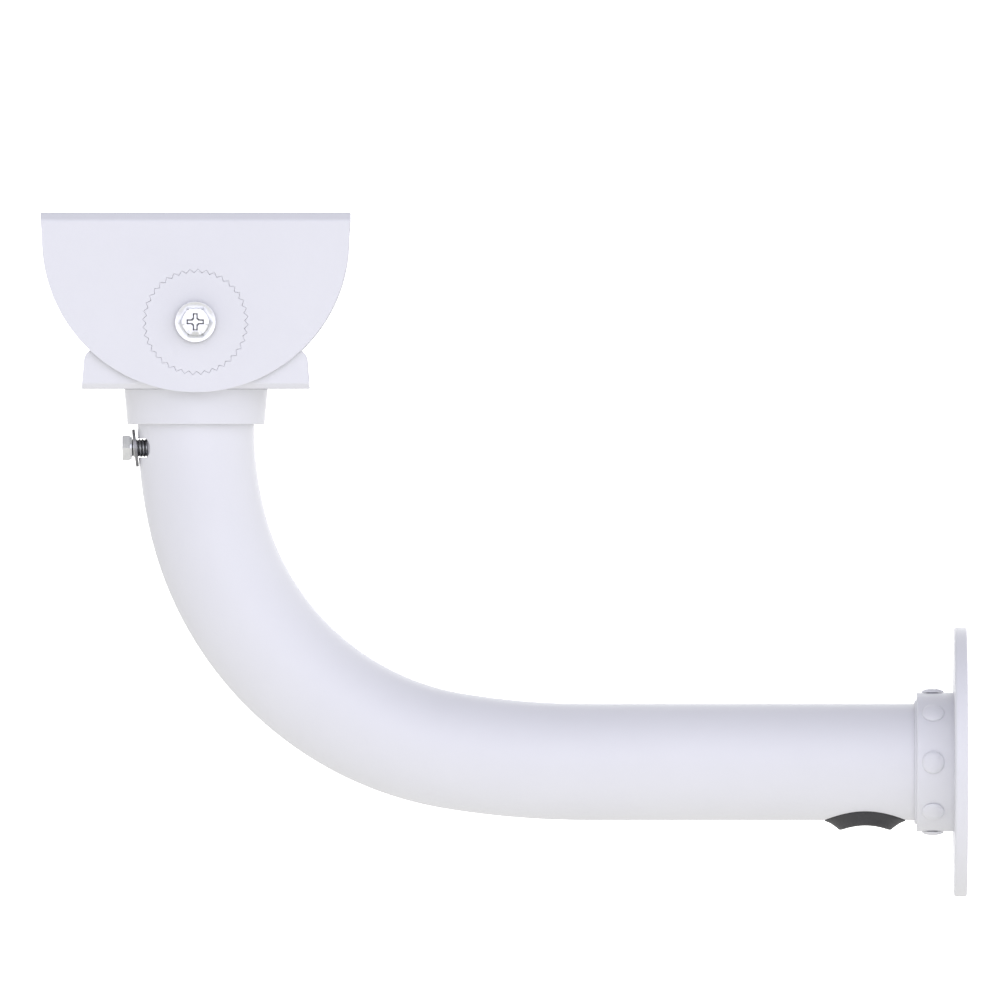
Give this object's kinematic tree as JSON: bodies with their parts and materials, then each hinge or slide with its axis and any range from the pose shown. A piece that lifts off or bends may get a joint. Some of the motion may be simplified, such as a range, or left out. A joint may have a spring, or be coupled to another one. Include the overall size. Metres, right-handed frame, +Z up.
{
  "type": "security camera wall bracket",
  "caption": "White wall bracket for a security camera: round wall plate, bent pipe arm, swivelling neck and a tilting half-round head with a flat top and toothed locking discs.",
  "frame": {"origin": "centre of the wall plate's back face, where it meets the wall", "axes": "+X into the wall, +Y across the bracket, +Z up; the arm reaches out along -X and bends up to the head"},
  "size_m": [0.3528, 0.1028, 0.2606],
  "materials": {
    "white_paint": "satin white powder coat with a slight lavender cast, on steel and cast metal",
    "bright_zinc": "bright zinc-plated steel fasteners",
    "rubber": "dark grey moulded rubber, matt"
  },
  "bodies": {
    "arm": {"wall_plate": "white_paint", "collar_rivet_1": "white_paint", "collar_rivet_2": "white_paint", "collar_rivet_3": "white_paint", "collar_rivet_4": "white_paint", "collar_rivet_5": "white_paint", "collar_rivet_6": "white_paint", "collar_rivet_7": "white_paint", "collar_rivet_8": "white_paint", "arm_tube": "white_paint", "cable_grommet": "rubber"},
    "swivel": {"swivel_neck": "white_paint", "saddle": "white_paint", "saddle_screw_1": "bright_zinc", "saddle_screw_2": "bright_zinc", "saddle_screw_3": "bright_zinc", "saddle_screw_4": "bright_zinc", "pan_lock_washer": "bright_zinc", "pivot_washer_front": "bright_zinc", "pivot_washer_back": "bright_zinc", "pivot_spring_washer_front": "bright_zinc", "pivot_spring_washer_back": "bright_zinc", "pivot_nut_front": "bright_zinc", "pivot_nut_back": "bright_zinc"},
    "head": {"tilt_channel": "white_paint", "toothed_disc_front": "white_paint", "toothed_disc_back": "white_paint"},
    "lock_bolt": {"pan_lock_bolt": "bright_zinc"},
    "front_screw": {"pivot_screw_front": "bright_zinc"},
    "back_screw": {"pivot_screw_back": "bright_zinc"}
  },
  "joints": [
    {"name": "pan", "type": "hinge", "parent": "arm", "child": "swivel", "pos_m": [-0.2937, 0, 0.1196], "axis": [0, 0, 1], "range_deg": [-28, 28]},
    {"name": "tilt", "type": "hinge", "parent": "swivel", "child": "head", "pos_m": [-0.2937, 0, 0.1675], "axis": [0, 1, 0], "range_deg": [-72, 72]},
    {"name": "lock_bolt_turn", "type": "hinge", "parent": "swivel", "child": "lock_bolt", "pos_m": [-0.3181, 0, 0.1196], "axis": [-1, 0, 0], "range_deg": [0, 270]},
    {"name": "front_screw_turn", "type": "hinge", "parent": "swivel", "child": "front_screw", "pos_m": [-0.2937, -0.038, 0.1675], "axis": [0, -1, 0], "range_deg": [0, 270]},
    {"name": "back_screw_turn", "type": "hinge", "parent": "swivel", "child": "back_screw", "pos_m": [-0.2937, 0.038, 0.1675], "axis": [0, 1, 0], "range_deg": [0, 270]}
  ]
}
